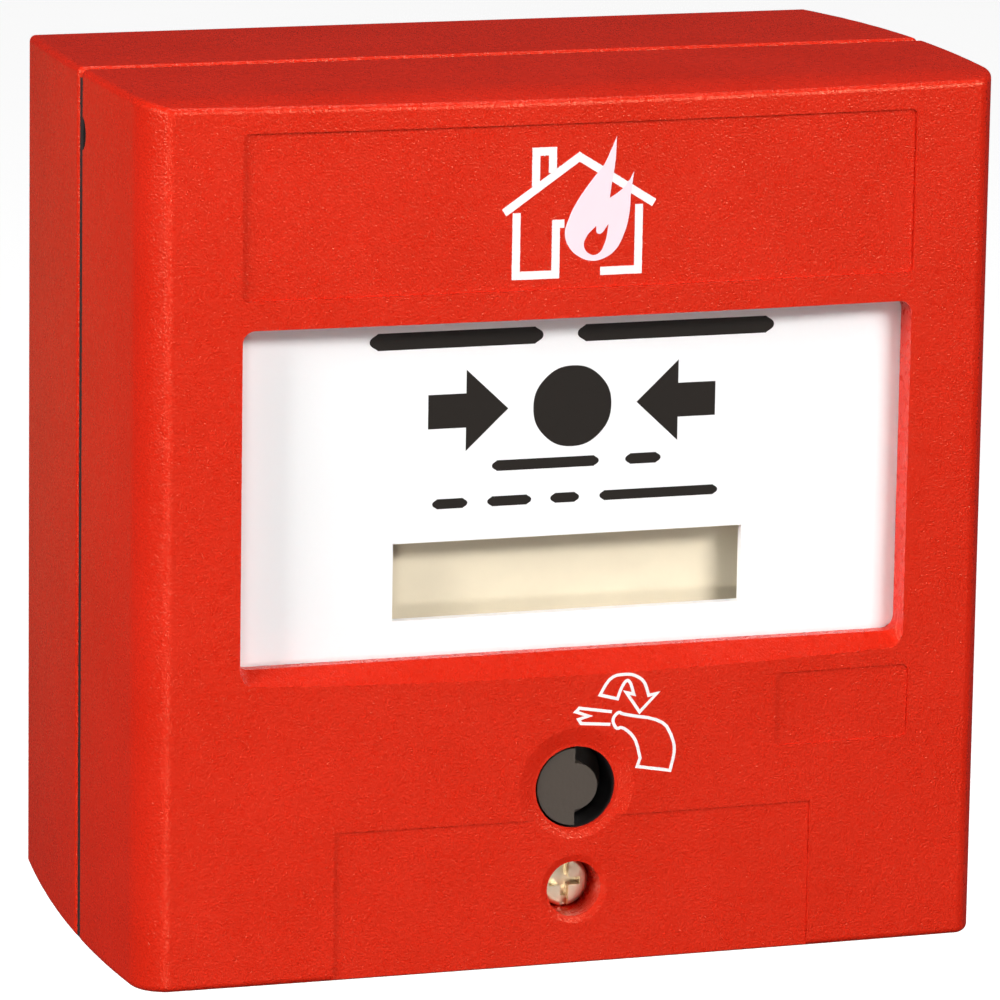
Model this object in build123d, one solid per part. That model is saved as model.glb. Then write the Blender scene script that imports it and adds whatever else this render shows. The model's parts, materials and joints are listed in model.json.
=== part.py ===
from build123d import *
import os

# Resettable manual call point for a wall: a two-part red housing, a press plate behind a window,
# an indicator flag, a reset lock and one captive cover screw.
# Frame: origin at the centre of the back face, +Z up, front towards -Y, sizes in millimetres.
# "out" is the distance in front of the wall, so y = -out.

# ---- housing ------------------------------------------------------------------------------
WIDTH = 125.0
HEIGHT = 124.6
DEPTH = 73.0                 # at the middle of the crowned front
CROWN_DROP = 1.6             # how far the front falls back from its middle to its side edges
BELLY_OUT = 47.0             # where the housing is widest
REAR_HALF_WIDTH = 59.4
REAR_HALF_HEIGHT = 61.2
EDGE_HALF_WIDTH = 58.9       # half width where the sides meet the front
EDGE_HALF_HEIGHT = 60.9
ROLL_OUT = 64.0              # where the sides start to roll towards the front
SIDE_EDGE_RADIUS = 1.8       # left and right edges of the front
CREASE_RADIUS = 0.9          # where the top and bottom meet the sides and the front
REAR_EDGE_RADIUS = 0.6
RIM_RADIUS = 0.7             # both rims at the seam
WALL = 2.5
FRONT_WALL = 2.6

# ---- joint between the back box and the cover ---------------------------------------------
SEAM_BACK = 37.5             # front rim of the back box
SEAM_FRONT = 39.5            # rear rim of the cover, 2 mm of shadow gap between them
TONGUE_INSET = 2.9
TONGUE_THICK = 1.4
TONGUE_OUT = (33.5, 42.0)
SEAL_INSET = 0.3             # from the housing's outside to the seal in the gap
SEAL_TOP_Z = 60.8            # the seal stays under the path of the cover's top rim
TAB_X = 30.0                 # the two hook tabs that hang the cover at its top
TAB_WIDTH = 10.0
TAB_Z = (56.0, 57.4)
TAB_OUT = (35.0, 46.0)
NOTCH_Z = 53.4               # pry notch in each side of the cover's rim
NOTCH_RADIUS = 2.4

# ---- wall fixing and cable entry ----------------------------------------------------------
FIXING_PITCH = 60.0
SLOT_LENGTH = 9.0
SLOT_WIDTH = 4.5
CABLE_Z = 38.0
CABLE_HOLE_RADIUS = 8.0
CABLE_BORE_RADIUS = 3.5
KNOCKOUT_RADIUS = 10.2

# ---- front features -----------------------------------------------------------------------
WINDOW_HALF_WIDTH = 48.6
WINDOW_Z = (-16.8, 30.8)
WINDOW_RADIUS = 1.8
WINDOW_LIP_OUT = 68.0        # rear end of the window's collar
SILL_OUT = 69.8              # where the sloping sill of the window starts
SILL_RUN = 2.9               # how far the sill drops on its way to the front
COLLAR_WALL = 2.2
LABEL_HALF_WIDTH = 48.7
LABEL_Z = (34.8, 57.8)
LABEL_DEPTH = 0.4
PANEL_HALF_WIDTH = 35.0
PANEL_TOP = -40.1
PANEL_DEPTH = 0.25
PAD_X = (29.4, 49.6)
PAD_Z = (-31.8, -21.3)
PAD_DEPTH = 0.25
DISH_DEPTH = 0.5
LOCK_Z = -35.8
LOCK_HOLE_RADIUS = 5.85
LOCK_DISH_RADIUS = 8.6
LOCK_TUBE_RADIUS = 8.1
BARREL_RADIUS = 6.6
BARREL_OUT = (66.0, 72.1)
SCREW_Z = -50.4
SCREW_WELL_RADIUS = 3.95
SCREW_WELL_FLOOR = 66.0
SCREW_DISH_RADIUS = 5.9
SCREW_TUBE_OUT = (53.0, 64.2)
SCREW_TUBE_RADIUS = 4.3
SCREW_BORE_RADIUS = 2.4
SCREW_HEAD_RADIUS = 3.6
SCREW_HEAD_OUT = (66.2, 68.5)
THREAD_RADIUS = 1.75
INSERT_RADIUS = 3.1
INSERT_END = 27.5

# ---- press plate and indicator ------------------------------------------------------------
PLATE_OUT = (66.3, 67.8)
PLATE_HALF_WIDTH = 50.4
PLATE_Z = (-20.2, 32.6)
PLATE_RIB_Z = (21.4, 29.4)
SIGHT_HALF_WIDTH = 25.6      # opening in the plate, in front of the flag
SIGHT_Z = (-11.7, -0.8)
PEG_X = 44.0
PEG_Z = (-14.6, 27.4)
PEG_RADIUS = 2.0
PEG_OUT = 56.2
SPRING_SEAT_OUT = 58.0
SPRING_RADIUS = 2.9
SPRING_WIRE = 0.3
FLAG_OUT = (61.6, 62.6)
FLAG_HALF_WIDTH = 28.5
FLAG_Z = (-13.2, 17.6)
FLAG_SPLIT_Z = 0.2           # quiet face below, alert label above
LABEL_TOP_Z = 12.0
RAIL_Z = (-23.6, 2.9)

# ---- mechanism carrier --------------------------------------------------------------------
CARRIER_OUT = (54.0, 57.0)
CARRIER_HALF_WIDTH = 54.0
CARRIER_Z = (-43.1, 45.4)
BOSS_X = 49.5
BOSS_Z = (-34.6, 40.4)
BOSS_RADIUS = 3.6
PILOT_RADIUS = 1.25
CRANK_X, CRANK_Z = 34.0, 8.4
CRANK_OUT = (58.0, 61.2)
CRANK_REACH = 24.0           # from the crank's pivot to the pin that drives the flag
CRANK_LIFT = 5.4             # how far above the pivot that pin rests
CRANK_FOOT = 6.0             # from the crank's pivot to its foot
CRANK_FOOT_RADIUS = 2.0
CRANK_PIN_RADIUS = 1.4
PIVOT_RADIUS = 1.5
PIVOT_SEAT_OUT = 57.8        # front of the raised seats under the two levers
LATCH_X, LATCH_Z = -9.0, -18.6
LATCH_OUT = (58.0, 60.8)
LATCH_END_Z = -40.6
LATCH_SPRING_X = (-14.4, -8.3)
LATCH_SPRING_Z = -38.6
CATCH_X = (-2.4, 0.6)
CATCH_Z = (-27.5, -25.7)
CAM_RADIUS = 7.0
CAM_OFFSET = 2.5
COLLAR_OUT = (62.4, 64.6)
ROTOR_FACE = 72.2
ROTOR_HUB_RADIUS = 3.3
ROTOR_SHAFT_RADIUS = 4.0
SHAFT_END = 50.0
SWITCH_X = (-38.0, -31.6)
SWITCH_Z = (-1.6, 18.2)
SWITCH_OUT = (47.0, 57.2)
SWITCH_SCREW_OUT = 51.5
BUTTON_Z = 11.4
BOARD_OUT = (42.0, 43.6)
BOARD_HALF_WIDTH = 40.0
BOARD_Z = (-24.6, 29.4)
BOARD_SCREW_X = 34.0
TERMINAL_PITCH = 5.08
TERMINAL_COUNT = 6
TERMINAL_Z = -12.6
TERMINAL_FRONT = 32.0        # the terminals' screw side, towards the wall
RESISTOR_Z = 7.4
RETAINER_OUT = (47.0, 48.6)

RUNNING_GAP = 0.1            # radial clearance of parts that turn or slide in each other


# ---- helpers ------------------------------------------------------------------------------
def block(x, out, z):
    """Box between three (low, high) pairs."""
    centre = Pos((x[0] + x[1]) / 2, -(out[0] + out[1]) / 2, (z[0] + z[1]) / 2)
    return centre * Box(x[1] - x[0], out[1] - out[0], z[1] - z[0])


def rod(radius, out, x=0.0, z=0.0):
    """Round bar square to the wall."""
    return Pos(x, -(out[0] + out[1]) / 2, z) * Rot(90, 0, 0) * Cylinder(radius, out[1] - out[0])


def tube(outer, inner, out, x=0.0, z=0.0):
    """Round bar square to the wall with a hole through it."""
    longer = (out[0] - 1, out[1] + 1)
    return rod(outer, out, x, z) - rod(inner, longer, x, z)


def cross_rod(radius, x, out, z):
    """Round bar along X."""
    return Pos((x[0] + x[1]) / 2, -out, z) * Rot(0, 90, 0) * Cylinder(radius, x[1] - x[0])


def cone(wide, narrow, out, x=0.0, z=0.0):
    """Cone square to the wall, wide at its front end."""
    return Pos(x, -(out[0] + out[1]) / 2, z) * Rot(90, 0, 0) * Cone(narrow, wide, out[1] - out[0])


def slot(length, width, out, x, z):
    """Round-ended slot along X, cut square to the wall."""
    outline = Plane((x, -out[0], z), x_dir=(1, 0, 0), z_dir=(0, -1, 0)) * SlotOverall(length, width)
    return extrude(outline, out[1] - out[0], dir=(0, -1, 0))


def side_profile(rear, widest, edge, front):
    """Half outline of a housing wall: one long belly arc, then a roll towards the front edge."""
    drop = widest - rear
    belly_radius = (BELLY_OUT ** 2 + drop ** 2) / (2 * drop)
    fall = belly_radius - (belly_radius ** 2 - (ROLL_OUT - BELLY_OUT) ** 2) ** 0.5
    belly = ThreePointArc((rear, 0), (widest, BELLY_OUT), (widest - fall, ROLL_OUT))
    roll = TangentArc(belly @ 1, (edge, front), tangent=belly % 1)
    return [belly, roll]


def mirrored(curves):
    """The same curves on the other side of the middle."""
    return [mirror(curve, about=Plane.YZ) for curve in curves]


def housing(inset=0.0, front_inset=0.0, edge_radius=0.0):
    """Solid of the whole housing, or of the space inside it when it is inset."""
    crown = DEPTH - front_inset
    shoulder = crown - CROWN_DROP
    edge = EDGE_HALF_WIDTH - inset
    rear = REAR_HALF_WIDTH - inset
    wall = side_profile(rear, WIDTH / 2 - inset, edge, shoulder)
    front = ThreePointArc((edge, shoulder), (0, crown), (-edge, shoulder))
    plan = make_face(wall + mirrored(wall) + [front, Line((-rear, 0), (rear, 0))])
    if edge_radius:
        plan = fillet([corner for corner in plan.vertices() if abs(corner.Y - shoulder) < 0.01], edge_radius)
    plan_solid = Pos(0, 0, -HEIGHT) * extrude(Rot(180, 0, 0) * plan, 2 * HEIGHT, dir=(0, 0, 1))

    beyond = DEPTH + 0.5
    edge = EDGE_HALF_HEIGHT - inset
    rear = REAR_HALF_HEIGHT - inset
    wall = side_profile(rear, HEIGHT / 2 - inset, edge, beyond)
    ends = [Line((edge, beyond), (-edge, beyond)), Line((-rear, 0), (rear, 0))]
    side = make_face(wall + mirrored(wall) + ends)
    side_plane = Plane((-WIDTH, 0, 0), x_dir=(0, 0, 1), z_dir=(1, 0, 0))
    side_solid = extrude(side_plane * side, 2 * WIDTH, dir=(1, 0, 0))
    return plan_solid & side_solid


def beyond_crown(depth):
    """Everything in front of the crowned front, sunk by depth; cuts shallow recesses."""
    edge = DEPTH - CROWN_DROP - depth
    arc = ThreePointArc((EDGE_HALF_WIDTH, edge), (0, DEPTH - depth), (-EDGE_HALF_WIDTH, edge))
    far = DEPTH + 10
    half = EDGE_HALF_WIDTH
    corners = [(-half, edge), (-half, far), (half, far), (half, edge)]
    face = make_face([arc, Polyline(*corners)])
    return Pos(0, 0, -HEIGHT) * extrude(Rot(180, 0, 0) * face, 2 * HEIGHT, dir=(0, 0, 1))


def rounded_block(x, out, z, radius):
    """Box with its four edges along the depth rounded."""
    shape = block(x, out, z)
    return fillet(shape.edges().filter_by(Axis.Y), radius)


def rounded_housing():
    """The housing with the upright edges of its front, its creases and its rear edge rounded."""
    solid = housing(edge_radius=SIDE_EDGE_RADIUS)
    creases = [edge for edge in solid.edges() if edge.geom_type != GeomType.LINE]
    solid = fillet(creases, CREASE_RADIUS)
    return fillet([edge for edge in solid.edges() if edge.bounding_box().min.Y > -0.01], REAR_EDGE_RADIUS)


def slab(out):
    """Slice of space between two distances from the wall, larger than the housing."""
    return block((-WIDTH, WIDTH), out, (-HEIGHT, HEIGHT))


def spring(radius, wire, turns, length):
    """Coil spring standing on the origin, along +Z."""
    path = Helix(pitch=length / turns, height=length, radius=radius)
    section = Plane(origin=path @ 0, z_dir=path % 0) * Circle(wire)
    return sweep(section, path, is_frenet=True)


def screw(head_radius, head_length, shank_radius, shank_length, slot_width):
    """Cheese-head screw with its head's underside at the origin, head up and shank down."""
    head = Pos(0, 0, head_length / 2) * Cylinder(head_radius, head_length)
    head = fillet(head.edges().group_by(Axis.Z)[-1], head_length * 0.3)
    shank = Pos(0, 0, -shank_length / 2) * Cylinder(shank_radius, shank_length)
    cut = Pos(0, 0, head_length) * Box(3 * head_radius, slot_width, head_length)
    return head + shank - cut


# ---- back box -----------------------------------------------------------------------------
def make_back_box():
    outer = rounded_housing() & slab((-1, SEAM_BACK))
    rim = [edge for edge in outer.edges() if edge.bounding_box().max.Y < -SEAM_BACK + 0.01]
    outer = fillet(rim, RIM_RADIUS)
    shell = outer - (housing(WALL) & slab((WALL, SEAM_BACK + 1)))
    inside_tongue = housing(TONGUE_INSET + TONGUE_THICK)
    tongue = (housing(TONGUE_INSET) - inside_tongue) & slab(TONGUE_OUT)
    rim_bridge = (housing(WALL - 0.5) - inside_tongue) & slab((TONGUE_OUT[0], SEAM_BACK - 1))
    shell = shell + tongue + rim_bridge
    for side in (-1, 1):
        middle = side * TAB_X
        reach = TAB_WIDTH / 2 + 1
        shell -= block((middle - reach, middle + reach), (TONGUE_OUT[0] - 1, TONGUE_OUT[1] + 1), (54, 60.1))
        pry = (side * 56, side * 61)
        shell -= block((min(pry), max(pry)), (SEAM_BACK, TONGUE_OUT[1] + 1), (NOTCH_Z - 3, NOTCH_Z + 3))
        for z in (-FIXING_PITCH / 2, FIXING_PITCH / 2):
            shell -= slot(SLOT_LENGTH, SLOT_WIDTH, (-1, WALL + 1), side * FIXING_PITCH / 2, z)
    shell += rod(5.0, (WALL - 0.5, SEAM_BACK), 0, SCREW_Z)
    shell += block((-0.8, 0.8), (WALL - 0.5, 28), (-HEIGHT / 2 + WALL, SCREW_Z - 4))
    shell -= rod(INSERT_RADIUS, (INSERT_END - 3.5, SEAM_BACK + 1), 0, SCREW_Z)
    shell -= rod(CABLE_HOLE_RADIUS, (-1, WALL + 1), 0, CABLE_Z)
    ring = Pos(0, -17, -HEIGHT / 2) * (Cylinder(KNOCKOUT_RADIUS, 3.4) - Cylinder(KNOCKOUT_RADIUS - 0.8, 5))
    return shell - ring


def make_post_insert():
    body = rod(INSERT_RADIUS, (INSERT_END, SEAM_BACK), 0, SCREW_Z)
    for out in (INSERT_END + 2, INSERT_END + 5, INSERT_END + 8):
        body -= tube(4, INSERT_RADIUS - 0.3, (out - 0.3, out + 0.3), 0, SCREW_Z)
    return body - rod(THREAD_RADIUS + 0.5, (INSERT_END - 3, SEAM_BACK + 1), 0, SCREW_Z)


def make_cover_seal():
    """Rubber ring in the shadow gap, around the tongue, lower along the top than elsewhere."""
    ring = housing(SEAL_INSET) - housing(TONGUE_INSET)
    return ring & block((-WIDTH, WIDTH), (SEAM_BACK, SEAM_FRONT - 0.1), (-HEIGHT, SEAL_TOP_Z))


def make_cable_grommet():
    inner_flange = tube(10.0, CABLE_BORE_RADIUS, (WALL, WALL + 1.8), 0, CABLE_Z)
    neck = tube(CABLE_HOLE_RADIUS, CABLE_BORE_RADIUS, (0.2, WALL), 0, CABLE_Z)
    sleeve = cone(4.6, 6.4, (WALL + 1.8, WALL + 5.8), 0, CABLE_Z)
    sleeve -= rod(CABLE_BORE_RADIUS, (0, 12), 0, CABLE_Z)
    return inner_flange + neck + sleeve


# ---- front cover --------------------------------------------------------------------------
def window_cut():
    width = (-WINDOW_HALF_WIDTH, WINDOW_HALF_WIDTH)
    opening = rounded_block(width, (WINDOW_LIP_OUT - 1, DEPTH + 2), WINDOW_Z, WINDOW_RADIUS)
    rise = DEPTH - SILL_OUT
    slope = SILL_RUN / rise
    low = WINDOW_Z[0]
    above = low + 4
    far = SILL_OUT + 2 * rise
    front_low = low - slope * (far - SILL_OUT)
    outline = Polyline((low, SILL_OUT), (front_low, far), (above, far), (above, SILL_OUT), close=True)
    side_plane = Plane((-WINDOW_HALF_WIDTH, 0, 0), x_dir=(0, 0, 1), z_dir=(1, 0, 0))
    sill = extrude(side_plane * make_face(outline), 2 * WINDOW_HALF_WIDTH, dir=(1, 0, 0))
    lower_corners = [edge for edge in sill.edges() if edge.center().Z < low and abs(edge.center().X) > 1]
    sizes = [(edge, edge.bounding_box().size) for edge in lower_corners]
    sloping = [edge for edge, size in sizes if size.X < 0.1 and 1 < size.Z < 7]
    sill = fillet(sloping, WINDOW_RADIUS)
    return opening + sill


def dish(radius, hole_radius, z):
    """Shallow conical dish around a hole in the front."""
    return cone(radius, hole_radius, (DEPTH - DISH_DEPTH, DEPTH), 0, z) + rod(radius, (DEPTH, DEPTH + 2), 0, z)


def make_front_cover():
    shell = rounded_housing() & slab((SEAM_FRONT, DEPTH + 1))
    rim = [edge for edge in shell.edges() if edge.bounding_box().min.Y > -SEAM_FRONT - 0.01]
    shell = fillet(rim, RIM_RADIUS)
    shell -= housing(WALL, FRONT_WALL) & slab((SEAM_FRONT - 1, DEPTH))

    collar_x = (-WINDOW_HALF_WIDTH - COLLAR_WALL, WINDOW_HALF_WIDTH + COLLAR_WALL)
    collar_z = (WINDOW_Z[0] - COLLAR_WALL - SILL_RUN, WINDOW_Z[1] + COLLAR_WALL)
    shell += block(collar_x, (WINDOW_LIP_OUT, DEPTH - FRONT_WALL), collar_z)
    shell += rod(LOCK_TUBE_RADIUS, (BARREL_OUT[0], DEPTH - FRONT_WALL), 0, LOCK_Z)
    shell += rod(SCREW_WELL_RADIUS + 1.8, (SCREW_TUBE_OUT[1], DEPTH - FRONT_WALL), 0, SCREW_Z)
    shell += rod(SCREW_TUBE_RADIUS, (SCREW_TUBE_OUT[0], DEPTH - FRONT_WALL), 0, SCREW_Z)
    for x in (-BOSS_X, BOSS_X):
        for z in BOSS_Z:
            shell += rod(BOSS_RADIUS, (CARRIER_OUT[1], DEPTH - FRONT_WALL), x, z)
            shell -= rod(PILOT_RADIUS, (CARRIER_OUT[1] - 1, CARRIER_OUT[1] + 10), x, z)
    for x in (-TAB_X, TAB_X):
        width = (x - TAB_WIDTH / 2, x + TAB_WIDTH / 2)
        shell += block(width, TAB_OUT, TAB_Z)
        shell += block(width, (TONGUE_OUT[1] + 0.6, TAB_OUT[1]), (TAB_Z[0], HEIGHT / 2 - WALL + 0.7))

    shell -= window_cut()
    front = (DEPTH - 5, DEPTH + 3)
    label = rounded_block((-LABEL_HALF_WIDTH, LABEL_HALF_WIDTH), front, LABEL_Z, 0.8)
    shell -= label & beyond_crown(LABEL_DEPTH)
    panel = block((-PANEL_HALF_WIDTH, PANEL_HALF_WIDTH), front, (-HEIGHT / 2 - 1, PANEL_TOP))
    shell -= panel & beyond_crown(PANEL_DEPTH)
    shell -= rounded_block(PAD_X, front, PAD_Z, 1.0) & beyond_crown(PAD_DEPTH)

    shell -= rod(LOCK_HOLE_RADIUS, (BARREL_OUT[0] - 1, DEPTH + 1), 0, LOCK_Z)
    shell -= rod(BARREL_RADIUS, (BARREL_OUT[0] - 1, BARREL_OUT[1]), 0, LOCK_Z)
    shell -= dish(LOCK_DISH_RADIUS, LOCK_HOLE_RADIUS + 0.4, LOCK_Z)
    shell -= rod(SCREW_WELL_RADIUS, (SCREW_WELL_FLOOR, DEPTH + 1), 0, SCREW_Z)
    shell -= dish(SCREW_DISH_RADIUS, SCREW_WELL_RADIUS, SCREW_Z)
    shell -= rod(SCREW_BORE_RADIUS, (SCREW_TUBE_OUT[0] - 1, DEPTH), 0, SCREW_Z)
    for x in (-WIDTH / 2, WIDTH / 2):
        shell -= cross_rod(NOTCH_RADIUS, (x - 4, x + 4), SEAM_FRONT, NOTCH_Z)
    return shell


# ---- press plate --------------------------------------------------------------------------
def make_press_plate():
    plate = rounded_block((-PLATE_HALF_WIDTH, PLATE_HALF_WIDTH), PLATE_OUT, PLATE_Z, 1.5)
    plate -= block((-SIGHT_HALF_WIDTH, SIGHT_HALF_WIDTH), (PLATE_OUT[0] - 1, PLATE_OUT[1] + 1), SIGHT_Z)
    for x in (-PEG_X, PEG_X):
        for z in PEG_Z:
            plate += rod(PEG_RADIUS, (PEG_OUT, PLATE_OUT[0]), x, z)
    for z in PLATE_RIB_Z:
        plate += block((-40, 40), (PLATE_OUT[0] - 1.4, PLATE_OUT[0]), (z - 0.6, z + 0.6))
    plate += crank_wedge() + latch_catch()
    switch_x = (SWITCH_X[0] + SWITCH_X[1]) / 2
    return plate + rod(1.4, (SWITCH_OUT[1] + 2.9, PLATE_OUT[0]), switch_x, BUTTON_Z)


def crank_wedge():
    """Wedge behind the plate; its slope lifts the crank's foot as the plate goes in."""
    tip = CRANK_OUT[1] + 0.2
    low = CRANK_Z - CRANK_FOOT_RADIUS - 0.4
    rear = PLATE_OUT[0]
    slope_end = (low + rear - tip - 2.0, rear - 2.0)
    outline = Polyline((low - 4, tip), (low, tip), slope_end, (slope_end[0], rear), (low - 4, rear), close=True)
    foot_x = CRANK_X + CRANK_FOOT - 0.1
    side_plane = Plane((foot_x, 0, 0), x_dir=(0, 0, 1), z_dir=(1, 0, 0))
    return extrude(side_plane * make_face(outline), 2.1, dir=(1, 0, 0))


def latch_catch():
    """Tab below the plate with a notched post that the latch's hook holds when the plate is in."""
    tab = block((CATCH_X[0] - 2, CATCH_X[1] + 2), PLATE_OUT, (CATCH_Z[0], PLATE_Z[0] + 2))
    post = block(CATCH_X, (LATCH_OUT[1] + 0.5, PLATE_OUT[0]), CATCH_Z)
    notch_z = (CATCH_Z[0] - 1, CATCH_Z[1] + 1)
    notch = block((CATCH_X[0] - 1, CATCH_X[0] + 0.8), (LATCH_OUT[1] + 1.2, LATCH_OUT[1] + 3), notch_z)
    return tab + post - notch


def make_plate_springs():
    length = PLATE_OUT[0] - SPRING_SEAT_OUT - 3 * SPRING_WIRE
    coil = Rot(90, 0, 0) * spring(SPRING_RADIUS, SPRING_WIRE, 5, length)
    start = -(SPRING_SEAT_OUT + 1.5 * SPRING_WIRE)
    return Compound([Pos(x, start, z) * coil for x in (-PEG_X, PEG_X) for z in PEG_Z])


# ---- indicator ----------------------------------------------------------------------------
def make_indicator_flag():
    flag = block((-FLAG_HALF_WIDTH, FLAG_HALF_WIDTH), FLAG_OUT, FLAG_Z)
    pin_x = CRANK_X - CRANK_REACH
    pin_z = CRANK_Z + CRANK_LIFT
    depth = (FLAG_OUT[0] - 1, FLAG_OUT[1] + 1)
    half_slot = CRANK_PIN_RADIUS + 0.4
    flag -= block((pin_x - 3, pin_x + 3), depth, (pin_z - half_slot, pin_z + half_slot))
    return flag - label_area()


def label_area():
    label_x = (-FLAG_HALF_WIDTH, FLAG_HALF_WIDTH)
    return block(label_x, (FLAG_OUT[1] - 0.25, FLAG_OUT[1]), (FLAG_SPLIT_Z, LABEL_TOP_Z))


def make_alert_label():
    return label_area()


def lever_plane(out):
    """Plane parallel to the wall, its x along X and its y along Z."""
    return Plane((0, -out, 0), x_dir=(1, 0, 0), z_dir=(0, -1, 0))


def arm(start, start_radius, end, end_radius, out):
    """Flat tapering arm with round ends, between two (x, z) points."""
    ends = [Pos(*start) * Circle(start_radius), Pos(*end) * Circle(end_radius)]
    outline = make_hull(ends[0].edges() + ends[1].edges())
    return extrude(lever_plane(out[0]) * outline, out[1] - out[0], dir=(0, -1, 0))


def make_trip_crank():
    """Lever turning parallel to the wall: its foot is lifted by the plate, its long arm lowers the flag."""
    pivot = (CRANK_X, CRANK_Z)
    tip = (CRANK_X - CRANK_REACH, CRANK_Z + CRANK_LIFT)
    lever = arm(pivot, 3.6, tip, 2.0, CRANK_OUT)
    lever += arm(pivot, 3.6, (CRANK_X + CRANK_FOOT, CRANK_Z), CRANK_FOOT_RADIUS, CRANK_OUT)
    lever += rod(CRANK_PIN_RADIUS, (CRANK_OUT[1] - 0.5, FLAG_OUT[1]), *tip)
    return lever - rod(PIVOT_RADIUS + RUNNING_GAP, (CRANK_OUT[0] - 1, CRANK_OUT[1] + 1), *pivot)


# ---- reset lock ---------------------------------------------------------------------------
def make_lock_barrel():
    return tube(BARREL_RADIUS, LOCK_HOLE_RADIUS, BARREL_OUT, 0, LOCK_Z)


def make_reset_rotor():
    """Rotor whose face leaves a half-ring slot for the key, with a cam that lifts the latch."""
    nose = rod(LOCK_HOLE_RADIUS - 0.35, (COLLAR_OUT[1] - 0.5, ROTOR_FACE), 0, LOCK_Z)
    key_slot = tube(LOCK_HOLE_RADIUS + 1, ROTOR_HUB_RADIUS, (ROTOR_FACE - 5.3, ROTOR_FACE + 1), 0, LOCK_Z)
    nose -= key_slot & block((0, 12), (ROTOR_FACE - 6, ROTOR_FACE + 2), (LOCK_Z - 12, LOCK_Z + 12))
    collar = rod(7.4, COLLAR_OUT, 0, LOCK_Z)
    cam = rod(CAM_RADIUS, (LATCH_OUT[0], LATCH_OUT[1] + 0.2), CAM_OFFSET, LOCK_Z)
    shaft = rod(ROTOR_SHAFT_RADIUS, (SHAFT_END, COLLAR_OUT[0] + 0.6), 0, LOCK_Z)
    shaft -= tube(6, 3.2, (SHAFT_END + 1.2, SHAFT_END + 2.2), 0, LOCK_Z)
    return nose + collar + cam + shaft


def make_rotor_clip():
    ring = tube(6.0, 3.25, (SHAFT_END + 1.3, SHAFT_END + 2.1), 0, LOCK_Z)
    return ring - block((-1.6, 1.6), (SHAFT_END, SHAFT_END + 3), (LOCK_Z - 8, LOCK_Z))


def make_latch_lever():
    """Lever hanging beside the cam; its hook points at the press plate's catch."""
    face_x = CAM_OFFSET - CAM_RADIUS - 0.15
    hook_x = CATCH_X[0] - 0.35
    hook_z = CATCH_Z[0] + 0.3
    outline = Polyline(
        (LATCH_X - 2.6, LATCH_Z), (LATCH_X + 2.6, LATCH_Z), (face_x, LATCH_Z - 3), (face_x, hook_z + 2),
        (hook_x, hook_z + 1.2), (hook_x, hook_z), (face_x, hook_z), (face_x, LATCH_END_Z),
        (face_x - 3.2, LATCH_END_Z), close=True)
    lever = extrude(lever_plane(LATCH_OUT[0]) * make_face(outline), LATCH_OUT[1] - LATCH_OUT[0], dir=(0, -1, 0))
    lever += rod(3.4, LATCH_OUT, LATCH_X, LATCH_Z)
    return lever - rod(PIVOT_RADIUS + RUNNING_GAP, (LATCH_OUT[0] - 1, LATCH_OUT[1] + 1), LATCH_X, LATCH_Z)


def make_latch_spring():
    """Coil between the carrier's lug and the latch, keeping the latch against the cam."""
    length = LATCH_SPRING_X[1] - LATCH_SPRING_X[0] - 0.6
    middle = -(LATCH_OUT[0] + LATCH_OUT[1]) / 2
    return Pos(LATCH_SPRING_X[0] + 0.3, middle, LATCH_SPRING_Z) * Rot(0, 90, 0) * spring(1.2, 0.2, 5, length)


def make_pivot_pin(x, z, lever_front):
    """Steel pin pressed into the carrier, with a flat head that keeps its lever on."""
    shank = rod(PIVOT_RADIUS, (CARRIER_OUT[0] + 0.5, lever_front + 0.1), x, z)
    return shank + rod(2.5, (lever_front + 0.1, lever_front + 0.3), x, z)


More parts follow.
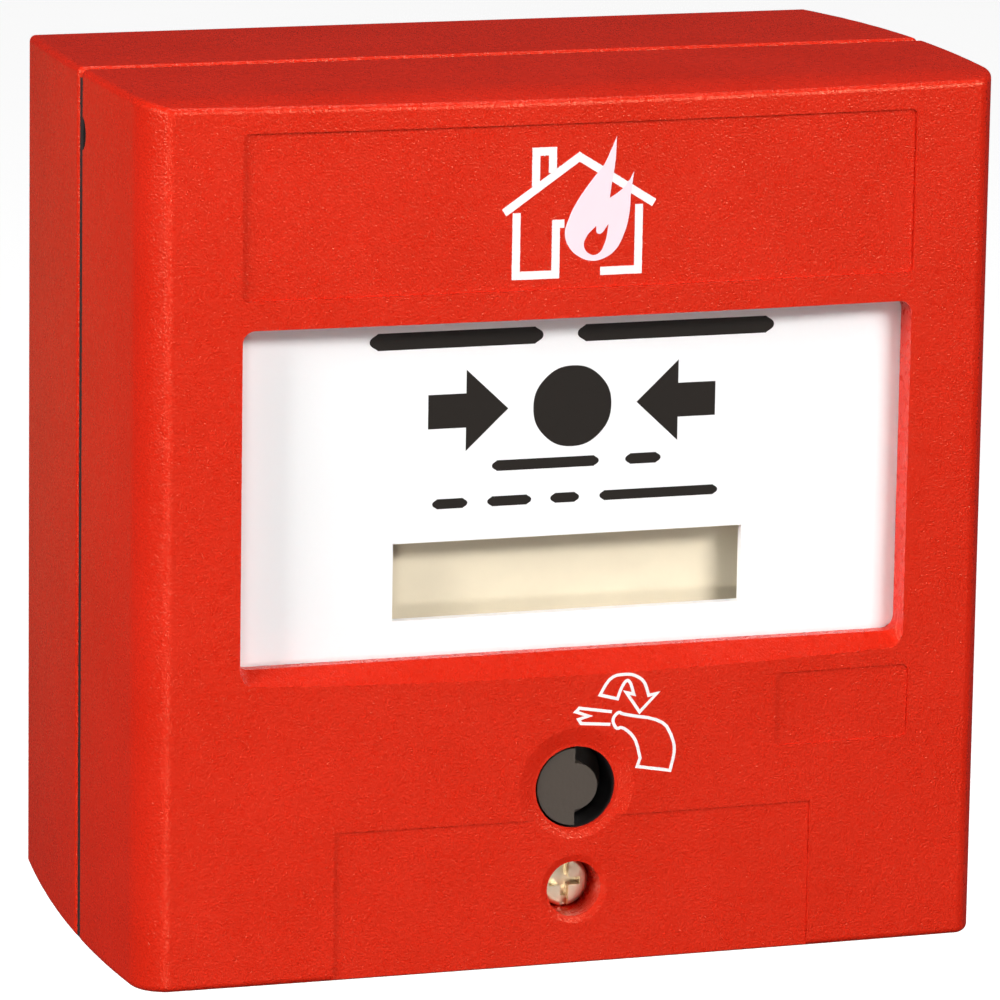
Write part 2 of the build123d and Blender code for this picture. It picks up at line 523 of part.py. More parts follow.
# ---- mechanism carrier --------------------------------------------------------------------
def make_mechanism_carrier():
    plate = rounded_block((-CARRIER_HALF_WIDTH, CARRIER_HALF_WIDTH), CARRIER_OUT, CARRIER_Z, 3.0)
    for x in (-PEG_X, PEG_X):
        for z in PEG_Z:
            plate += rod(4.2, (CARRIER_OUT[0] - 4, SPRING_SEAT_OUT), x, z)
            plate -= rod(PEG_RADIUS + RUNNING_GAP, (CARRIER_OUT[0] - 5, SPRING_SEAT_OUT + 1), x, z)
    plate += rod(7.2, (SHAFT_END + 2.3, PIVOT_SEAT_OUT - 0.2), 0, LOCK_Z)
    plate -= rod(ROTOR_SHAFT_RADIUS + RUNNING_GAP, (SHAFT_END, PIVOT_SEAT_OUT), 0, LOCK_Z)
    plate -= rod(SCREW_TUBE_RADIUS + 2.1, (SHAFT_END, PIVOT_SEAT_OUT), 0, SCREW_Z)
    for x, z in ((CRANK_X, CRANK_Z), (LATCH_X, LATCH_Z)):
        plate += rod(3.2, (CARRIER_OUT[1] - 0.5, PIVOT_SEAT_OUT), x, z)
        plate -= rod(PIVOT_RADIUS, (CARRIER_OUT[0] + 0.5, PIVOT_SEAT_OUT + 1), x, z)
    gap = 0.2
    plate -= block((SWITCH_X[0] - gap, SWITCH_X[1] + gap), SWITCH_OUT, (SWITCH_Z[0] - gap, SWITCH_Z[1] + gap))
    bracket_z = (SWITCH_Z[0] - 1, SWITCH_Z[1] + 1)
    plate += block((SWITCH_X[0] - 2.4, SWITCH_X[0] - gap), (SWITCH_OUT[0] + 1, CARRIER_OUT[1]), bracket_z)
    for z in (SWITCH_Z[0] + 5, SWITCH_Z[1] - 5):
        plate -= cross_rod(0.9, (SWITCH_X[0] - 3, SWITCH_X[0]), SWITCH_SCREW_OUT, z)
    lug = (LATCH_SPRING_X[0] - 1.8, LATCH_SPRING_X[0])
    plate += block(lug, (CARRIER_OUT[1] - 0.5, LATCH_OUT[1]), (LATCH_SPRING_Z - 1.8, LATCH_SPRING_Z + 1.8))
    for side in (-1, 1):
        plate += flag_rail(side)
        for z in (BOARD_Z[0] + 5, BOARD_Z[1] - 4):
            plate += rod(3.0, (BOARD_OUT[1], CARRIER_OUT[0] + 0.5), side * BOARD_SCREW_X, z)
            plate -= rod(1.0, (BOARD_OUT[1] - 1, CARRIER_OUT[0] - 2), side * BOARD_SCREW_X, z)
        for z in BOSS_Z:
            plate -= rod(1.6, (CARRIER_OUT[0] - 1, CARRIER_OUT[1] + 1), side * BOSS_X, z)
    return plate


def flag_rail(side):
    """Channel that guides one edge of the flag."""
    inner = FLAG_HALF_WIDTH - 1.2
    outer = FLAG_HALF_WIDTH + 1.4
    rail = block((inner, outer), (CARRIER_OUT[1] - 0.5, FLAG_OUT[1] + 0.6), RAIL_Z)
    groove = (FLAG_OUT[0] - 0.15, FLAG_OUT[1] + 0.15)
    rail -= block((inner - 1, FLAG_HALF_WIDTH + 0.2), groove, (RAIL_Z[0] - 1, RAIL_Z[1] + 1))
    return rail if side > 0 else mirror(rail, about=Plane.YZ)


def make_carrier_screws():
    single = Rot(-90, 0, 0) * screw(2.8, 1.8, 1.25, 11.0, 0.8)
    return Compound([Pos(x, -CARRIER_OUT[0], z) * single for x in (-BOSS_X, BOSS_X) for z in BOSS_Z])


# ---- electrics ----------------------------------------------------------------------------
def make_microswitch_body():
    body = block(SWITCH_X, SWITCH_OUT, SWITCH_Z)
    body = fillet(body.edges().filter_by(Axis.X), 0.6)
    for z in (SWITCH_Z[0] + 5, SWITCH_Z[1] - 5):
        body -= cross_rod(0.9, (SWITCH_X[0] - 1, SWITCH_X[1] + 1), SWITCH_SCREW_OUT, z)
    middle = (SWITCH_X[0] + SWITCH_X[1]) / 2
    well = (SWITCH_OUT[1] - 1.8, SWITCH_OUT[1] + 1)
    return body - block((middle - 1.6, middle + 1.6), well, (BUTTON_Z - 1.6, BUTTON_Z + 1.6))


def make_microswitch_button():
    middle = (SWITCH_X[0] + SWITCH_X[1]) / 2
    out = (SWITCH_OUT[1] - 0.6, SWITCH_OUT[1] + 1.2)
    return block((middle - 1.4, middle + 1.4), out, (BUTTON_Z - 1.4, BUTTON_Z + 1.4))


def make_microswitch_blades():
    middle = (SWITCH_X[0] + SWITCH_X[1]) / 2
    blades = []
    for z in (SWITCH_Z[0] + 2.5, SWITCH_Z[0] + 10, SWITCH_Z[1] - 2.5):
        blades.append(block((middle - 1.4, middle + 1.4), (BOARD_OUT[1], SWITCH_OUT[0]), (z - 0.25, z + 0.25)))
    return Compound(blades)


def make_microswitch_screws():
    single = Rot(0, 90, 0) * screw(1.8, 1.2, 0.9, 8.6, 0.5)
    heights = (SWITCH_Z[0] + 5, SWITCH_Z[1] - 5)
    return Compound([Pos(SWITCH_X[1], -SWITCH_SCREW_OUT, z) * single for z in heights])


def make_contact_board():
    board = rounded_block((-BOARD_HALF_WIDTH, BOARD_HALF_WIDTH), BOARD_OUT, BOARD_Z, 2.0)
    for x in (-BOARD_SCREW_X, BOARD_SCREW_X):
        for z in (BOARD_Z[0] + 5, BOARD_Z[1] - 4):
            board -= rod(1.2, (BOARD_OUT[0] - 1, BOARD_OUT[1] + 1), x, z)
    return board


def make_board_screws():
    single = Rot(-90, 0, 0) * screw(2.4, 1.6, 1.0, 7.0, 0.6)
    corners = [(x, z) for x in (-BOARD_SCREW_X, BOARD_SCREW_X) for z in (BOARD_Z[0] + 5, BOARD_Z[1] - 4)]
    return Compound([Pos(x, -BOARD_OUT[0], z) * single for x, z in corners])


def terminal_places():
    middle = (TERMINAL_COUNT - 1) / 2
    return [(index - middle) * TERMINAL_PITCH for index in range(TERMINAL_COUNT)]


def make_terminal_block():
    half = TERMINAL_COUNT * TERMINAL_PITCH / 2
    body = block((-half, half), (TERMINAL_FRONT, BOARD_OUT[0]), (TERMINAL_Z - 4.5, TERMINAL_Z + 4.5))
    long_edges = body.edges().filter_by(Axis.X)
    body = chamfer([edge for edge in long_edges if edge.center().Y > -TERMINAL_FRONT - 1], 1.2)
    for x in terminal_places():
        body -= rod(1.9, (TERMINAL_FRONT - 1, TERMINAL_FRONT + 6), x, TERMINAL_Z)
        pocket = (TERMINAL_FRONT + 4, TERMINAL_FRONT + 8)
        body -= block((x - 1.7, x + 1.7), pocket, (TERMINAL_Z - 6, TERMINAL_Z + 2))
    return body


def make_terminal_screws():
    single = Rot(-90, 0, 0) * screw(1.7, 1.4, 1.2, 1.6, 0.5)
    return Compound([Pos(x, -TERMINAL_FRONT - 2.4, TERMINAL_Z) * single for x in terminal_places()])


def make_terminal_cages():
    """Folded wire clamps, each open towards the wire."""
    rear, front = TERMINAL_FRONT + 4.1, TERMINAL_FRONT + 7.9
    cages = []
    for x in terminal_places():
        cage = block((x - 1.6, x + 1.6), (rear, front), (TERMINAL_Z - 3.5, TERMINAL_Z + 1.8))
        inside = block((x - 1.1, x + 1.1), (rear + 0.7, front - 0.6), (TERMINAL_Z - 5, TERMINAL_Z + 3))
        cages.append(cage - inside)
    return Compound(cages)


def make_line_resistor():
    axis_out = BOARD_OUT[0] - 1.6
    body = cross_rod(1.2, (-3.2, 3.2), axis_out, RESISTOR_Z)
    leads = cross_rod(0.3, (-6, 6), axis_out, RESISTOR_Z)
    for x in (-6, 6):
        leads += rod(0.3, (axis_out - 0.3, BOARD_OUT[0]), x, RESISTOR_Z)
    return body + leads


# ---- cover screw --------------------------------------------------------------------------
def make_cover_screw():
    """Captive screw with a head for a slotted or a cross driver."""
    low, top = SCREW_HEAD_OUT
    head = rod(SCREW_HEAD_RADIUS, SCREW_HEAD_OUT, 0, SCREW_Z)
    head = fillet(head.edges().group_by(Axis.Y)[0], 0.7)
    head -= block((-0.6, 0.6), (top - 1.1, top + 1), (SCREW_Z - 5, SCREW_Z + 5))
    head -= block((-2.3, 2.3), (top - 1.7, top + 1), (SCREW_Z - 0.55, SCREW_Z + 0.55))
    head -= block((-0.55, 0.55), (top - 1.7, top + 1), (SCREW_Z - 2.3, SCREW_Z + 2.3))
    shank = rod(THREAD_RADIUS, (SEAM_BACK - 7, low), 0, SCREW_Z)
    return head + shank


def make_screw_retainer():
    return tube(4.4, THREAD_RADIUS + RUNNING_GAP, RETAINER_OUT, 0, SCREW_Z)


# ---- write every node ---------------------------------------------------------------------
NODES = {
    "back_box": make_back_box,
    "post_insert": make_post_insert,
    "cable_grommet": make_cable_grommet,
    "cover_seal": make_cover_seal,
    "front_cover": make_front_cover,
    "press_plate": make_press_plate,
    "plate_springs": make_plate_springs,
    "indicator_flag": make_indicator_flag,
    "alert_label": make_alert_label,
    "trip_crank": make_trip_crank,
    "crank_pin": lambda: make_pivot_pin(CRANK_X, CRANK_Z, CRANK_OUT[1]),
    "lock_barrel": make_lock_barrel,
    "reset_rotor": make_reset_rotor,
    "rotor_clip": make_rotor_clip,
    "latch_lever": make_latch_lever,
    "latch_pin": lambda: make_pivot_pin(LATCH_X, LATCH_Z, LATCH_OUT[1]),
    "latch_spring": make_latch_spring,
    "mechanism_carrier": make_mechanism_carrier,
    "carrier_screws": make_carrier_screws,
    "microswitch_body": make_microswitch_body,
    "microswitch_button": make_microswitch_button,
    "microswitch_blades": make_microswitch_blades,
    "microswitch_screws": make_microswitch_screws,
    "contact_board": make_contact_board,
    "board_screws": make_board_screws,
    "terminal_block": make_terminal_block,
    "terminal_screws": make_terminal_screws,
    "terminal_cages": make_terminal_cages,
    "line_resistor": make_line_resistor,
    "cover_screw": make_cover_screw,
    "screw_retainer": make_screw_retainer,
}

os.makedirs("parts", exist_ok=True)
for name, make in NODES.items():
    export_step(make(), f"parts/{name}.step")
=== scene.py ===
"""Looks for the manual call point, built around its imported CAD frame."""
import json
import math

import bmesh
import bpy
from mathutils import Matrix, Vector


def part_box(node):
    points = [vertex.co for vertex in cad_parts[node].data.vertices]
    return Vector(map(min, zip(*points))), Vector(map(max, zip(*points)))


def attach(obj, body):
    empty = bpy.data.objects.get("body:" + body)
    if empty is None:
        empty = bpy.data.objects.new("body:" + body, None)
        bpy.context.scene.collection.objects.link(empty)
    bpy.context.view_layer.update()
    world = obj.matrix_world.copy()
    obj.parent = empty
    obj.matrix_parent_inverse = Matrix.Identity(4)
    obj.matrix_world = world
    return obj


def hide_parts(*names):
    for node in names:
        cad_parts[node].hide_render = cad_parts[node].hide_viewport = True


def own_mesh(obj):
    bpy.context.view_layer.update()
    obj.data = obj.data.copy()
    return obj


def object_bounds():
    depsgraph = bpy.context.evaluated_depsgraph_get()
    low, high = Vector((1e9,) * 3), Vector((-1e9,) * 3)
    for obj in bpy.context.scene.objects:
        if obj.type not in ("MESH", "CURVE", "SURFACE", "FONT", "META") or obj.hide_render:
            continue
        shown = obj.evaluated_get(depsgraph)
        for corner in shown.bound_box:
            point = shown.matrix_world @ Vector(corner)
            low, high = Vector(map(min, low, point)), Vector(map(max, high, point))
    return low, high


MM = 0.001

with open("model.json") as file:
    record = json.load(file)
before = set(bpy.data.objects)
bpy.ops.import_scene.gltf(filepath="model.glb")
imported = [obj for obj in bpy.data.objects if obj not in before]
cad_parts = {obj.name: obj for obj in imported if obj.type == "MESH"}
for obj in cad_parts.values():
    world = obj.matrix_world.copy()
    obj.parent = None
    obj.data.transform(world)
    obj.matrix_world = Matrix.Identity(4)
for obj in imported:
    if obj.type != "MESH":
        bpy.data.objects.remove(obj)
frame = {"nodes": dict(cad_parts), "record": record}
cad_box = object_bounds()
cover_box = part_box("front_cover")
plate_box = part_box("press_plate")


# ---- materials ----------------------------------------------------------------------------
def new_material(name, colour, roughness, **shader_values):
    """Principled material; shader_values are socket names with _ for a space."""
    material = bpy.data.materials.new(name)
    material.use_nodes = True
    shader = material.node_tree.nodes["Principled BSDF"]
    shader.inputs["Base Color"].default_value = (*colour, 1.0)
    shader.inputs["Roughness"].default_value = roughness
    for socket, value in shader_values.items():
        shader.inputs[socket.replace("_", " ")].default_value = value
    return material


def noise(material, scale, detail=2.0, roughness=0.5):
    """Noise texture in object space, so that it stays on its piece."""
    tree = material.node_tree
    place = tree.nodes.new("ShaderNodeTexCoord")
    texture = tree.nodes.new("ShaderNodeTexNoise")
    texture.inputs["Scale"].default_value = scale
    texture.inputs["Detail"].default_value = detail
    texture.inputs["Roughness"].default_value = roughness
    tree.links.new(place.outputs["Object"], texture.inputs["Vector"])
    return texture


def remap(material, source, low, high, start=0.3, end=0.7):
    """Source between start and end, brought to low..high."""
    tree = material.node_tree
    node = tree.nodes.new("ShaderNodeMapRange")
    node.inputs["From Min"].default_value = start
    node.inputs["From Max"].default_value = end
    node.inputs["To Min"].default_value = low
    node.inputs["To Max"].default_value = high
    tree.links.new(source, node.inputs["Value"])
    return node.outputs["Result"]


def bump(material, source, strength, distance):
    """Bump from source, added after any bump the material has."""
    tree = material.node_tree
    shader = tree.nodes["Principled BSDF"]
    node = tree.nodes.new("ShaderNodeBump")
    node.inputs["Strength"].default_value = strength
    node.inputs["Distance"].default_value = distance
    tree.links.new(source, node.inputs["Height"])
    normal = shader.inputs["Normal"]
    if normal.is_linked:
        tree.links.new(normal.links[0].from_socket, node.inputs["Normal"])
    tree.links.new(node.outputs["Normal"], normal)


def blotch(material, colours, scale, start=0.3, end=0.7):
    """Base colour that drifts between two colours over the surface."""
    tree = material.node_tree
    texture = noise(material, scale, 3.0)
    mix = tree.nodes.new("ShaderNodeMix")
    mix.data_type = "RGBA"
    colour_inputs = [socket for socket in mix.inputs if socket.type == "RGBA"]
    colour_inputs[0].default_value = (*colours[0], 1.0)
    colour_inputs[1].default_value = (*colours[1], 1.0)
    tree.links.new(remap(material, texture.outputs["Fac"], 0.0, 1.0, start, end), mix.inputs[0])
    result = next(socket for socket in mix.outputs if socket.type == "RGBA")
    tree.links.new(result, tree.nodes["Principled BSDF"].inputs["Base Color"])


def vary_roughness(material, low, high, scale):
    texture = noise(material, scale, 4.0)
    shader = material.node_tree.nodes["Principled BSDF"]
    result = remap(material, texture.outputs["Fac"], low, high)
    material.node_tree.links.new(result, shader.inputs["Roughness"])


def moulded_red(name, grain_depth, roughness):
    """Red thermoplastic with a fine spark-eroded grain and a warm sheen."""
    sheen = (1.0, 0.58, 0.34, 1.0)
    material = new_material(name, (0.66, 0.018, 0.006), roughness, IOR=1.47, Specular_Tint=sheen)
    blotch(material, ((0.67, 0.020, 0.007), (0.63, 0.017, 0.005)), 70.0)
    vary_roughness(material, roughness - 0.04, roughness + 0.05, 700.0)
    bump(material, noise(material, 3200.0, 1.0, 0.6).outputs["Fac"], 0.8, grain_depth)
    bump(material, noise(material, 60.0, 1.0).outputs["Fac"], 0.2, 0.00006)
    return material


def moulded(name, colour, roughness, grain=2200.0, depth=0.00004, drift=0.9):
    """Plain moulded plastic with a slight grain and drift in its colour."""
    material = new_material(name, colour, roughness)
    darker = tuple(drift * channel for channel in colour)
    blotch(material, (colour, darker), 90.0)
    vary_roughness(material, roughness - 0.05, roughness + 0.05, 600.0)
    bump(material, noise(material, grain).outputs["Fac"], 0.2, depth)
    return material


def metal(name, colour, roughness, scale=1500.0):
    """Metal with small changes of roughness and fine scratches."""
    material = new_material(name, colour, roughness, Metallic=1.0)
    vary_roughness(material, roughness - 0.07, roughness + 0.10, scale)
    bump(material, noise(material, scale * 2, 3.0).outputs["Fac"], 0.15, 0.00003)
    return material


MATERIALS = {
    "red_plastic": moulded_red("red_plastic", 0.00015, 0.28),
    "white_plastic": moulded("white_plastic", (0.97, 0.97, 0.97), 0.38, 3000.0, 0.00001, 0.985),
    "cream_plastic": moulded("cream_plastic", (0.93, 0.81, 0.60), 0.5),
    "yellow_label": moulded("yellow_label", (0.85, 0.50, 0.02), 0.40),
    "black_plastic": moulded("black_plastic", (0.012, 0.012, 0.013), 0.45),
    "grey_plastic": moulded("grey_plastic", (0.072, 0.054, 0.041), 0.55, 1500.0, 0.0002),
    "natural_plastic": moulded("natural_plastic", (0.72, 0.70, 0.64), 0.40),
    # grey_rubber is near black: the seal raised into the cover seam carries painted shade for the gap as
    # well as its own rubber colour
    "grey_rubber": moulded("grey_rubber", (0.015, 0.012, 0.012), 0.75),
    "yellow_zinc": metal("yellow_zinc", (0.95, 0.84, 0.62), 0.42),
    "bright_steel": metal("bright_steel", (0.62, 0.62, 0.60), 0.30),
    "brass": metal("brass", (0.74, 0.52, 0.20), 0.30),
    "green_laminate": moulded("green_laminate", (0.010, 0.110, 0.035), 0.30),
    "blue_plastic": moulded("blue_plastic", (0.012, 0.060, 0.250), 0.35),
    "beige_ceramic": moulded("beige_ceramic", (0.55, 0.42, 0.24), 0.40),
}

for entry in frame["record"]["subparts"]:
    node = frame["nodes"][entry["node"]]
    if len(node.material_slots) == 0:
        node.data.materials.append(None)
    for place in node.material_slots:
        place.material = MATERIALS[entry["material_slot"]]

BLACK_INK = new_material("black_ink", (0.016, 0.012, 0.009), 0.55, Specular_IOR_Level=0.25)
WHITE_INK = new_material("white_ink", (0.93, 0.88, 0.87), 0.45)
PINK_INK = new_material("pink_ink", (0.93, 0.74, 0.80), 0.45)
for ink, depth in ((BLACK_INK, 0.00001), (WHITE_INK, 0.00002), (PINK_INK, 0.00002)):
    vary_roughness(ink, 0.36, 0.50, 900.0)
    bump(ink, noise(ink, 2500.0).outputs["Fac"], 0.2, depth)


# ---- printed marks ------------------------------------------------------------------------
INK = 0.02 * MM              # thickness of a printed mark
CROWN_HALF_WIDTH = 58.9 * MM
CROWN_DROP = 1.6 * MM
CROWN_RADIUS = (CROWN_HALF_WIDTH ** 2 + CROWN_DROP ** 2) / (2 * CROWN_DROP)
FRONT = cover_box[0][1]
LABEL_RECESS = 0.4 * MM
PLATE_FRONT = plate_box[0][1]


def flat_front(x):
    """Front of the press plate, the same at every x."""
    return PLATE_FRONT


def crowned_front(x, depth=0.0):
    """Front of the cover at x, sunk by depth."""
    return FRONT + depth + CROWN_RADIUS - math.sqrt(CROWN_RADIUS ** 2 - x ** 2)


def label_front(x):
    return crowned_front(x, LABEL_RECESS)


def finish_print(name, mesh, surface, ink, body, lift=0.0, shift=0.0):
    """Lays a flat (x, z) mesh on a surface, gives it the ink's thickness and its rider."""
    shape = bmesh.new()
    shape.from_mesh(mesh)
    bmesh.ops.translate(shape, verts=shape.verts, vec=(shift * MM, 0.0, 0.0))
    bmesh.ops.remove_doubles(shape, verts=shape.verts, dist=1e-7)
    bmesh.ops.triangulate(shape, faces=shape.faces)
    long_edges = [edge for edge in shape.edges if edge.calc_length() > 1.5 * MM]
    bmesh.ops.subdivide_edges(shape, edges=long_edges, cuts=2)
    bmesh.ops.triangulate(shape, faces=shape.faces)
    bmesh.ops.recalc_face_normals(shape, faces=shape.faces)
    front_faces = list(shape.faces)
    extruded = bmesh.ops.extrude_face_region(shape, geom=front_faces)
    back = [item for item in extruded["geom"] if isinstance(item, bmesh.types.BMVert)]
    back_set = set(back)
    for vertex in shape.verts:
        raised = lift if vertex in back_set else lift + INK
        vertex.co.y = surface(vertex.co.x) - raised
    bmesh.ops.recalc_face_normals(shape, faces=shape.faces)
    shape.to_mesh(mesh)
    shape.free()
    piece = bpy.data.objects.new(name, mesh)
    mesh.name = name
    bpy.context.scene.collection.objects.link(piece)
    mesh.materials.clear()
    mesh.materials.append(ink)
    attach(piece, body)
    return piece


def filled(name, outlines):
    """Flat mesh filled between closed outlines of (x, z, smooth) points in millimetres."""
    curve = bpy.data.curves.new(name, "CURVE")
    curve.dimensions = "2D"
    curve.fill_mode = "BOTH"
    curve.resolution_u = 8
    for outline in outlines:
        spline = curve.splines.new("BEZIER")
        spline.bezier_points.add(len(outline) - 1)
        spline.use_cyclic_u = True
        for point, (x, z, smooth) in zip(spline.bezier_points, outline):
            point.co = (x * MM, z * MM, 0.0)
            point.handle_left_type = "AUTO" if smooth else "VECTOR"
            point.handle_right_type = "AUTO" if smooth else "VECTOR"
    holder = bpy.data.objects.new(name, curve)
    bpy.context.scene.collection.objects.link(holder)
    bpy.context.view_layer.update()
    graph = bpy.context.evaluated_depsgraph_get()
    mesh = bpy.data.meshes.new_from_object(holder.evaluated_get(graph))
    bpy.data.objects.remove(holder)
    for vertex in mesh.vertices:
        vertex.co = (vertex.co.x, 0.0, vertex.co.y)
    return mesh


def sharp(points):
    return [(x, z, False) for x, z in points]


def smooth(points):
    return [(x, z, True) for x, z in points]


def eased(points, corners, closed=True):
    """The same line with every point cut to a curve, apart from the corners that stay sharp."""
    for _ in range(2):
        softer = []
        count = len(points)
        for index, point in enumerate(points):
            if point in corners or (not closed and index in (0, count - 1)):
                softer.append(point)
                continue
            here = Vector(point)
            for neighbour in (points[index - 1], points[(index + 1) % count]):
                softer.append(tuple(here.lerp(Vector(neighbour), 0.25)))
        points = softer
    return points


def stroke(points, width, closed=False):
    """Outline of a line of the given width along (x, z) points, with mitred corners."""
    count = len(points)
    left, right = [], []
    for index, (x, z) in enumerate(points):
        here = Vector((x, z))
        before = Vector(points[index - 1]) if index > 0 or closed else None
        after = Vector(points[(index + 1) % count]) if index < count - 1 or closed else None
        into = (here - before).normalized() if before is not None else (after - here).normalized()
        out_of = (after - here).normalized() if after is not None else into
        middle = (into + out_of).normalized()
        side = Vector((-middle.y, middle.x))
        reach = width / 2 / max(0.35, side.dot(Vector((-into.y, into.x))))
        left.append(here + side * reach)
        right.append(here - side * reach)
    return left, right


def ribbon(name, lines, width):
    """Flat mesh of several lines of one width; a line is (points, closed)."""
    mesh = bpy.data.meshes.new(name)
    vertices, faces = [], []
    for points, closed in lines:
        left, right = stroke(points, width, closed)
        start = len(vertices)
        for one, other in zip(left, right):
            vertices += [(one.x * MM, 0.0, one.y * MM), (other.x * MM, 0.0, other.y * MM)]
        count = len(points)
        for index in range(count if closed else count - 1):
            here = start + 2 * index
            following = start + 2 * ((index + 1) % count)
            faces.append((here, here + 1, following + 1, following))
    mesh.from_pydata(vertices, [], faces)
    return mesh


def circle(x, z, radius, count=8):
    turns = [2 * math.pi * index / count for index in range(count)]
    return smooth([(x + radius * math.cos(turn), z + radius * math.sin(turn)) for turn in turns])


def bar(x, z, height):
    """Rounded bar between two x, standing for a printed word."""
    low, high = x
    radius = height / 2
    return [(low + radius, z - radius, False), (high - radius, z - radius, False), (high, z, True),
            (high - radius, z + radius, False), (low + radius, z + radius, False), (low, z, True)]


DOT = (0.2, 17.4, 5.7)       # x, z and radius of the press spot
TITLE = (((-29.3, -4.2), (0.8, 29.7)), 27.6, 2.4)
PROMPTS = ((((-11.4, 4.2), (8.1, 13.3)), 9.5, 1.5),
           (((-20.0, -14.9), (-12.0, -5.6), (-2.8, 1.4), (4.4, 21.8)), 4.5, 1.4))


def make_arrow(name, tip, direction):
    """Plump arrow pointing at the dot: its head and its shaft in one outline."""
    head, shaft, wide, narrow = 6.1, 5.5, 5.7, 2.4
    base = tip + direction * head
    tail = base + direction * shaft
    z = DOT[1] + 0.1
    points = [(tip, z), (base, z + wide), (base, z + narrow), (tail, z + narrow),
              (tail, z - narrow), (base, z - narrow), (base, z - wide)]
    mesh = filled(name, [sharp(points)])
    return finish_print(name, mesh, flat_front, BLACK_INK, "press_plate")


def make_plate_prints():
    x, z, radius = DOT
    finish_print("press_dot", filled("press_dot", [circle(x, z, radius)]), flat_front, BLACK_INK,
                 "press_plate")
    make_arrow("arrow_from_left", x - radius - 3.65, -1)
    make_arrow("arrow_from_right", x + radius + 3.7, 1)
    for row, (words, z, height) in enumerate((TITLE,) + PROMPTS):
        outlines = [bar(word, z, height) for word in words]
        name = f"wording_bars_{row}"
        finish_print(name, filled(name, outlines), flat_front, BLACK_INK, "press_plate")


HOUSE_SHIFT = -1.2
KEY_SHIFT = -1.0
FLAME = smooth([(4.6, 53.7), (3.7, 51.9), (1.9, 49.7), (-0.1, 46.9), (-1.3, 44.5), (-1.8, 42.4),
                (-1.1, 40.5), (0.7, 39.0), (2.0, 38.6), (3.4, 38.7), (5.4, 39.8), (6.8, 42.2),
                (7.5, 45.0), (7.7, 47.9)])
FLAME += [(8.1, 50.8, False), (7.4, 49.6, True), (6.4, 48.4, True), (4.6, 47.2, False), (4.9, 49.4, True),
          (5.3, 52.0, True), (5.5, 55.8, False)]
FLAME_DROP = [(2.7, 43.4, False), (1.3, 41.9, True), (1.0, 40.6, True), (1.9, 39.5, True),
              (3.0, 39.5, True), (4.0, 41.0, True), (4.5, 43.6, False), (3.0, 42.3, True)]


def make_house():
    """House with a flame in it, as line work in the label above the window."""
    line = 1.15
    walls = [((-1.9, 43.9), (-3.1, 43.9), (-3.1, 36.9), (-8.8, 36.9), (-8.8, 45.6)),
             ((3.4, 37.1), (8.9, 37.1), (8.9, 46.2)),
             ((-10.6, 45.7), (0.15, 53.1), (11.1, 46.3)),
             ((-6.1, 49.2), (-6.1, 54.0), (-3.7, 54.0), (-3.7, 51.0))]
    mesh = ribbon("house", [(list(points), False) for points in walls], line)
    finish_print("house_outline", mesh, label_front, WHITE_INK, "front_cover",
                 shift=HOUSE_SHIFT)
    flame = filled("flame", [FLAME, FLAME_DROP])
    finish_print("house_flame", flame, label_front, PINK_INK, "front_cover",
                 lift=0.6 * INK, shift=HOUSE_SHIFT)


def make_key():
    """Key and a turning arrow, as fine line work above the lock."""
    line = 0.45
    arrow = [(4.2, -22.7), (5.7, -20.1), (8.3, -19.9), (9.6, -20.3), (10.8, -21.2), (11.4, -23.2),
             (12.6, -23.0), (10.1, -25.5), (8.1, -22.6), (9.2, -22.9), (8.7, -21.2), (8.1, -20.7),
             (7.3, -21.9), (6.8, -23.4)]
    arrow_corners = [(4.2, -22.7), (11.4, -23.2), (12.6, -23.0), (10.1, -25.5), (8.1, -22.6),
                     (9.2, -22.9), (6.8, -23.4)]
    handle = [(7.0, -25.2), (7.6, -25.7), (13.6, -26.8), (15.1, -29.5), (15.5, -31.4), (14.8, -34.2),
              (9.9, -33.3), (10.3, -32.1), (9.6, -29.2), (7.6, -27.4), (6.7, -27.8), (6.0, -26.3)]
    handle_corners = [(14.8, -34.2), (9.9, -33.3), (10.3, -32.1)]
    shaft = [(6.0, -25.2), (1.2, -24.4), (0.7, -24.9), (2.6, -25.6), (1.1, -26.0), (1.5, -26.6),
             (5.8, -27.0)]
    lines = [(eased(arrow, arrow_corners), True), (eased(handle, handle_corners), True), (shaft, False)]
    mesh = ribbon("key", lines, line)
    finish_print("key_outline", mesh, crowned_front, WHITE_INK, "front_cover",
                 shift=KEY_SHIFT)


make_plate_prints()
make_house()
make_key()


def make_coils(name, rigid_name):
    """Copy of the rigid coils, riding on the front cover, shown in place of the rigid ones."""
    rigid = frame["nodes"][rigid_name]
    coils = bpy.data.objects.new(name, rigid.data.copy())
    coils.matrix_world = rigid.matrix_world.copy()
    bpy.context.scene.collection.objects.link(coils)
    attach(coils, "front_cover")
    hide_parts(rigid_name)
    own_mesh(coils)


make_coils("return_springs", "plate_springs")
make_coils("latch_return_spring", "latch_spring")


# ---- camera -------------------------------------------------------------------------------
def place_camera(target, yaw, pitch, roll, distance, lens):
    """Camera aimed at target from yaw degrees to the left and pitch degrees above."""
    yaw, pitch, roll = (math.radians(angle) for angle in (yaw, pitch, roll))
    back = Vector((-math.sin(yaw) * math.cos(pitch), -math.cos(yaw) * math.cos(pitch), math.sin(pitch)))
    data = bpy.data.cameras.new("camera")
    data.lens = lens
    data.sensor_width = 36.0
    data.clip_start = 0.05
    camera = bpy.data.objects.new("camera", data)
    bpy.context.scene.collection.objects.link(camera)
    level = back.to_track_quat("Z", "Y").to_matrix().to_4x4()
    place = Matrix.Translation(target + back * distance)
    camera.matrix_world = place @ level @ Matrix.Rotation(roll, 4, "Z")
    bpy.context.scene.camera = camera


place_camera(Vector((-0.0119, -0.0730, 0.0058)), 18.66, 12.10, 0.90, 1.0052, 263.4)


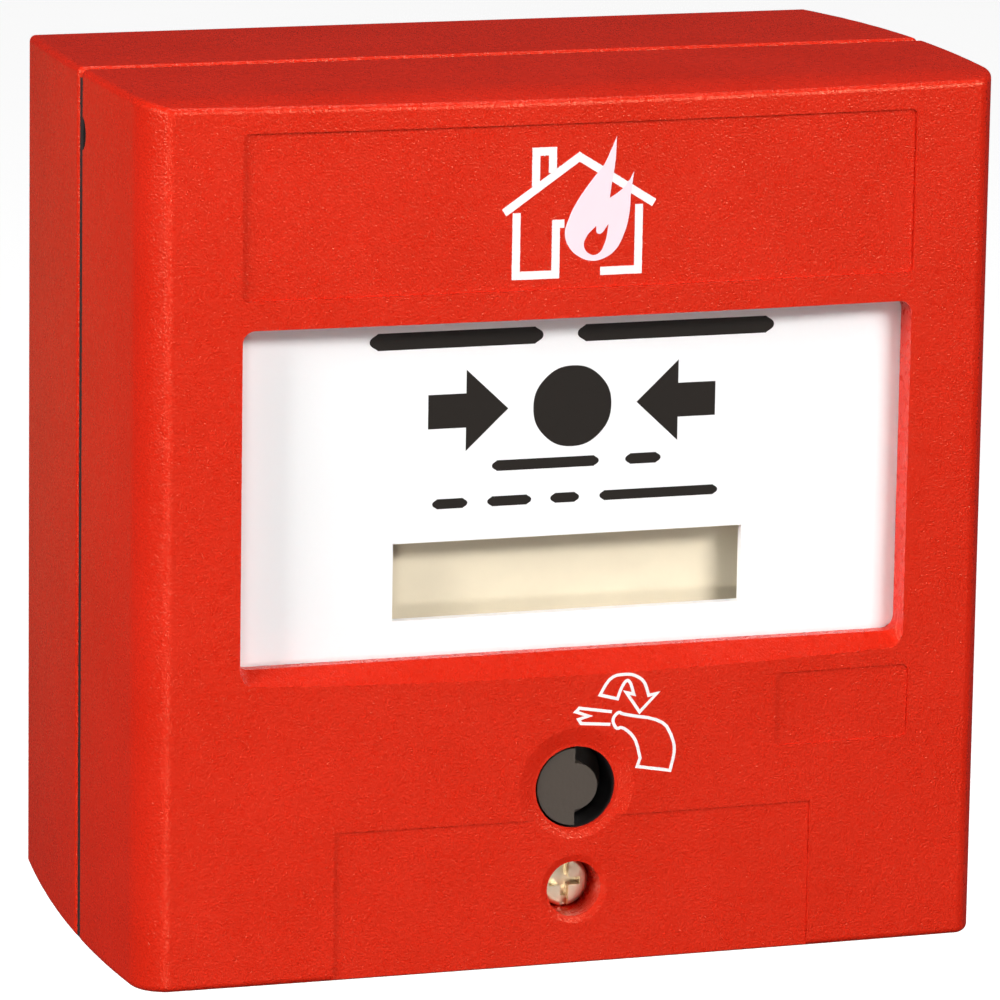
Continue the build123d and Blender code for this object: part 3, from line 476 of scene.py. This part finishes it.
# ---- floor, backdrop, world and lights ----------------------------------------------------
def soft_light(name, place, aim, size, power, colour=(1.0, 1.0, 1.0)):
    data = bpy.data.lights.new(name, "AREA")
    data.shape = "RECTANGLE"
    data.size, data.size_y = size
    data.energy = power
    data.color = colour
    light = bpy.data.objects.new(name, data)
    light.location = place
    light.rotation_euler = (Vector(aim) - Vector(place)).to_track_quat("-Z", "Y").to_euler()
    bpy.context.scene.collection.objects.link(light)


def make_stage_plane(name, corners, material):
    mesh = bpy.data.meshes.new(name)
    mesh.from_pydata(corners, [], [(0, 1, 2, 3)])
    plane = bpy.data.objects.new(name, mesh)
    plane.data.materials.append(material)
    bpy.context.scene.collection.objects.link(plane)
    return plane


def make_surroundings():
    """Pale floor well below the object, and a bright paper room that only the camera sees."""
    low = cad_box[0][2] - 0.25
    reach = 2.6
    white = (1.0, 1.0, 1.0, 1.0)
    ground = [(-reach, -reach), (reach, -reach), (reach, reach), (-reach, reach)]
    pale = new_material("floor", (0.80, 0.80, 0.80), 0.9, Emission_Color=white, Emission_Strength=0.75)
    floor = make_stage_plane("floor", [(*corner, low) for corner in ground], pale)
    floor.visible_diffuse = False
    floor.visible_glossy = False
    paper = new_material("paper", (0.0, 0.0, 0.0), 1.0, Emission_Color=white, Emission_Strength=1.0)
    for index, start in enumerate(ground):
        end = ground[(index + 1) % 4]
        wall = [(*start, low), (*end, low), (*end, low + 2 * reach), (*start, low + 2 * reach)]
        backdrop = make_stage_plane(f"backdrop_{index}", wall, paper)
        backdrop.visible_diffuse = False
        backdrop.visible_glossy = False
        backdrop.visible_shadow = False


WORLD_STRENGTH = 0.035
EXPOSURE = 0.2

world = bpy.data.worlds.new("world")
world.use_nodes = True
background = world.node_tree.nodes["Background"]
background.inputs["Color"].default_value = (1.0, 1.0, 1.0, 1.0)
background.inputs["Strength"].default_value = WORLD_STRENGTH
bpy.context.scene.world = world
bpy.context.scene.view_settings.view_transform = "Standard"
bpy.context.scene.view_settings.exposure = EXPOSURE
make_surroundings()
soft_light("key", (0.62, -1.18, 0.68), (0, -0.06, 0), (0.6, 0.3), 15.0)
soft_light("edge_strip", (-0.55, -1.10, -0.27), (-0.06, -0.07, 0), (0.22, 0.25), 3.3)
soft_light("left_fill", (-1.1, -0.40, 0.40), (0, -0.05, 0), (0.5, 0.5), 13.0)
soft_light("rear_rim", (-0.20, 1.10, -0.20), (0, -0.03, 0), (0.25, 0.2), 0.05, (1.0, 0.55, 0.25))
soft_light("top", (0.1, 0.15, 1.3), (0, -0.04, 0), (0.5, 0.3), 5.2)
soft_light("low_front", (0.42, -1.25, -0.28), (0, -0.06, 0), (0.3, 0.3), 0.6)
